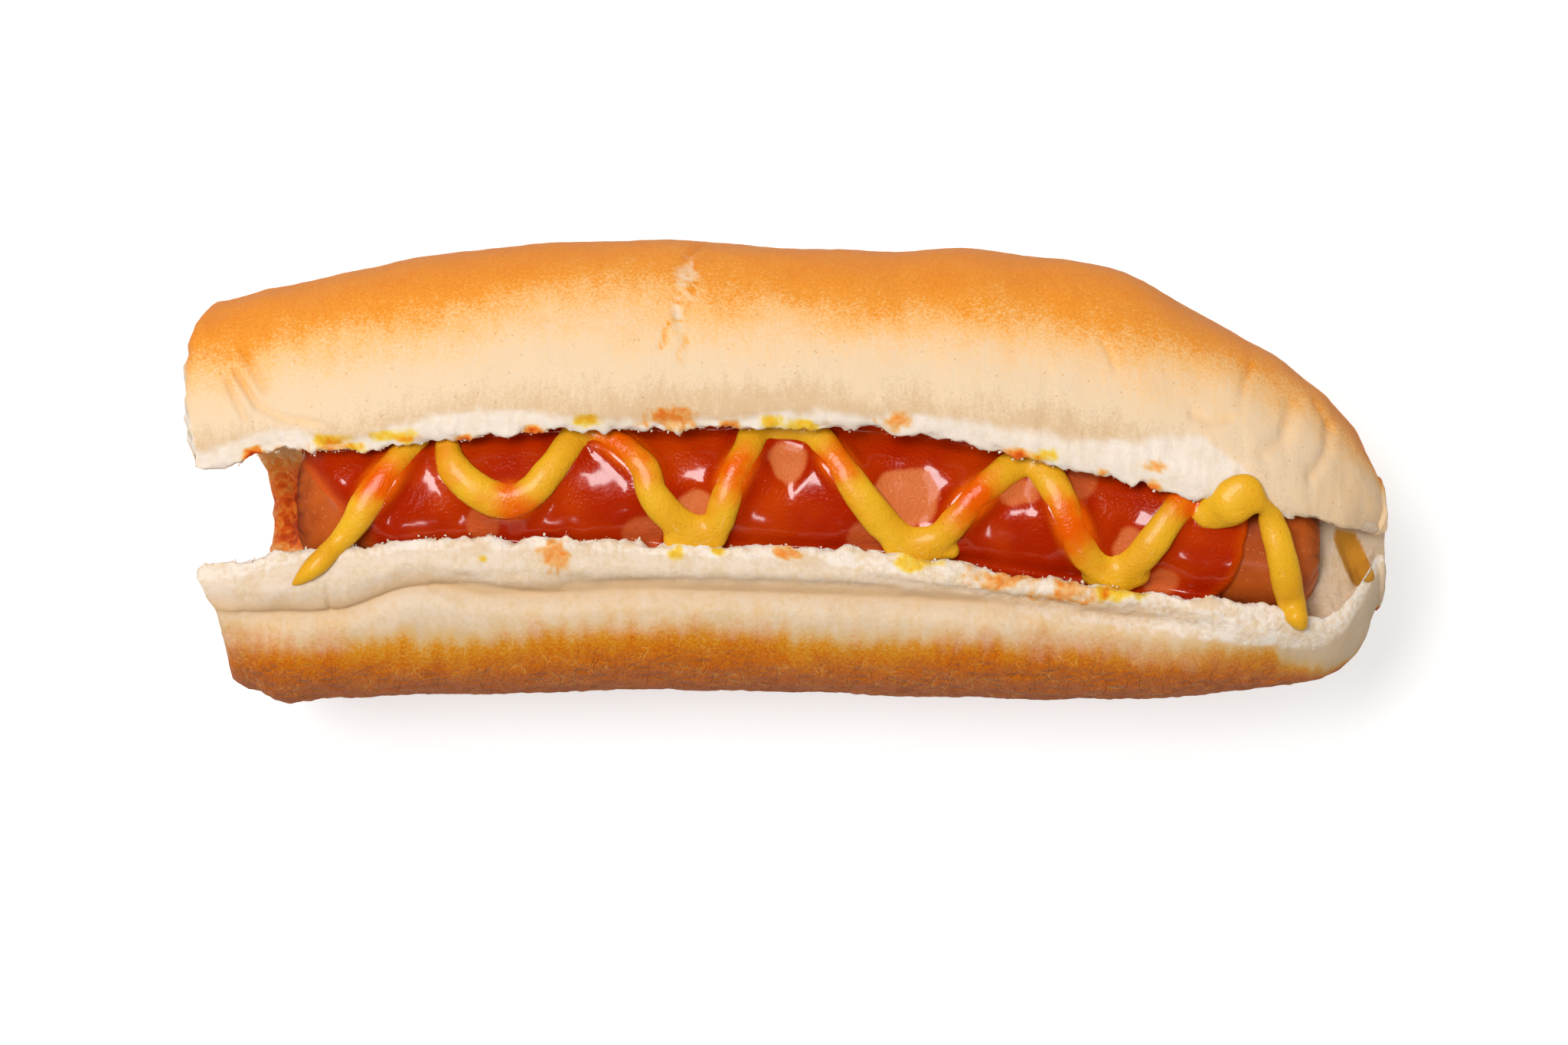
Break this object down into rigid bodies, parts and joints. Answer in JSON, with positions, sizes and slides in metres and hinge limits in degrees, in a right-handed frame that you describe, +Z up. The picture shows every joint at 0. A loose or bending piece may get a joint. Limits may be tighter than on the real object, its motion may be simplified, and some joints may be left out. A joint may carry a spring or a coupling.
{
  "type": "hot dog",
  "caption": "Hot dog: a sausage in a long split bun with a rounded domed half, covered in ketchup under a zigzag of mustard.",
  "frame": {"origin": "centre of the bounding box, at the level it rests on", "axes": "+X along the bun to its tapered end, +Y towards the domed half, +Z up out of the split"},
  "size_m": [0.1623, 0.0631, 0.0507],
  "materials": {
    "bread": "baked crust, browned on the dome and the base and pale along the split",
    "sausage": "smooth moist skin",
    "ketchup": "wet and glossy",
    "mustard": "smooth, satin"
  },
  "bodies": {
    "root": {"bun": "bread", "sausage": "sausage"}
  },
  "joints": []
}
